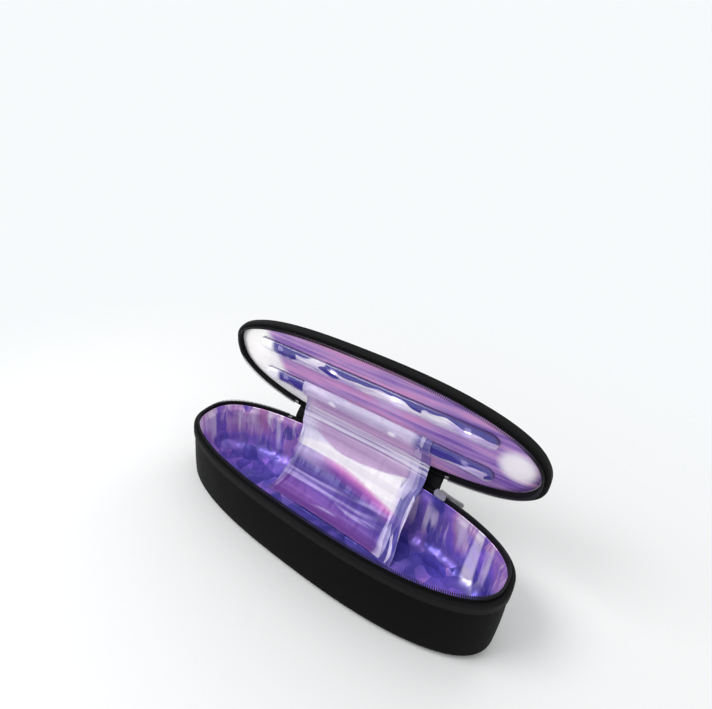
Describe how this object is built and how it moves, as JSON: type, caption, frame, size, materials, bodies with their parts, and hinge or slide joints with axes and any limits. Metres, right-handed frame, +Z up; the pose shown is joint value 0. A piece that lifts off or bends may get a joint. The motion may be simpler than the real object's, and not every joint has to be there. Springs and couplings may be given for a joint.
{
  "type": "ultraviolet sanitizing case",
  "caption": "Oval zip-up travel case with a foil-lined tray and a hinged flat lid carrying rows of ultraviolet lamps behind clear sleeves, shown open.",
  "frame": {"origin": "centre of the tray's flat underside", "axes": "+Z up, +X along the case, hinge on the +Y side"},
  "size_m": [0.3476, 0.1437, 0.1922],
  "materials": {
    "shell_cover": "matte smooth cover over moulded foam",
    "rim_band": "matte woven band",
    "woven_tape": "matte woven tape",
    "zip_nylon": "satin nylon",
    "zip_metal": "satin grey metal",
    "foil_lining": "metallised film, creased, lit violet",
    "lid_lining": "metallised white silver film",
    "mirror_film": "thin mirror film, half clear",
    "clear_plastic": "clear gloss",
    "stiff_board": "plain board",
    "white_board": "white circuit strip",
    "lamp": "white ceramic base and clear dome",
    "cell_wrap": "silver pouch",
    "circuit_board": "green board",
    "pod_plastic": "fine matte",
    "button_plastic": "satin",
    "bright_metal": "bright"
  },
  "bodies": {
    "tray": {"base_shell": "shell_cover", "base_rim_binding": "rim_band", "base_zip_tape": "woven_tape", "base_zip_teeth": "zip_nylon", "base_zip_stop_left": "zip_metal", "base_zip_stop_right": "zip_metal", "base_foil_lining": "foil_lining", "base_board": "stiff_board", "closing_magnet": "bright_metal", "zip_slider": "zip_metal", "hinge_strip": "woven_tape", "film_bridge": "mirror_film"},
    "lid": {"lid_panel": "shell_cover", "lid_rim_binding": "rim_band", "lid_zip_tape": "woven_tape", "lid_zip_teeth": "zip_nylon", "lid_zip_stop_left": "zip_metal", "lid_zip_stop_right": "zip_metal", "lid_lining": "lid_lining", "lid_board": "stiff_board", "led_board_lower": "white_board", "led_board_upper": "white_board", "led_sleeve_lower": "clear_plastic", "led_sleeve_upper": "clear_plastic", "uv_led_lower_1": "lamp", "uv_led_lower_2": "lamp", "uv_led_lower_3": "lamp", "uv_led_lower_4": "lamp", "uv_led_upper_1": "lamp", "uv_led_upper_2": "lamp", "uv_led_upper_3": "lamp", "uv_led_upper_4": "lamp", "battery_cell": "cell_wrap", "lid_sensor": "bright_metal", "led_cable": "white_board", "control_housing": "pod_plastic", "control_backplate": "pod_plastic", "control_screw_left": "bright_metal", "control_screw_right": "bright_metal", "control_board": "circuit_board", "button_switch": "bright_metal", "indicator_lens": "clear_plastic", "usb_inlet": "bright_metal"},
    "button": {"power_button": "button_plastic"},
    "pull": {"zip_pull": "zip_metal"}
  },
  "joints": [
    {"name": "lid_hinge", "type": "hinge", "parent": "tray", "child": "lid", "pos_m": [0, 0.06455, 0.067], "axis": [-1, 0, 0], "range_deg": [-72, 33], "deforming": ["hinge_strip", "film_bridge"]},
    {"name": "button_press", "type": "slide", "parent": "lid", "child": "button", "axis": [0, -0.9511, -0.309], "range_m": [0, 0.0008], "stiffness_N_per_m": 1500, "springref_m": -0.0006},
    {"name": "pull_swing", "type": "hinge", "parent": "tray", "child": "pull", "pos_m": [0.09242, 0.05713, 0.0659], "axis": [0, 0, 1], "range_deg": [0, 95]}
  ]
}
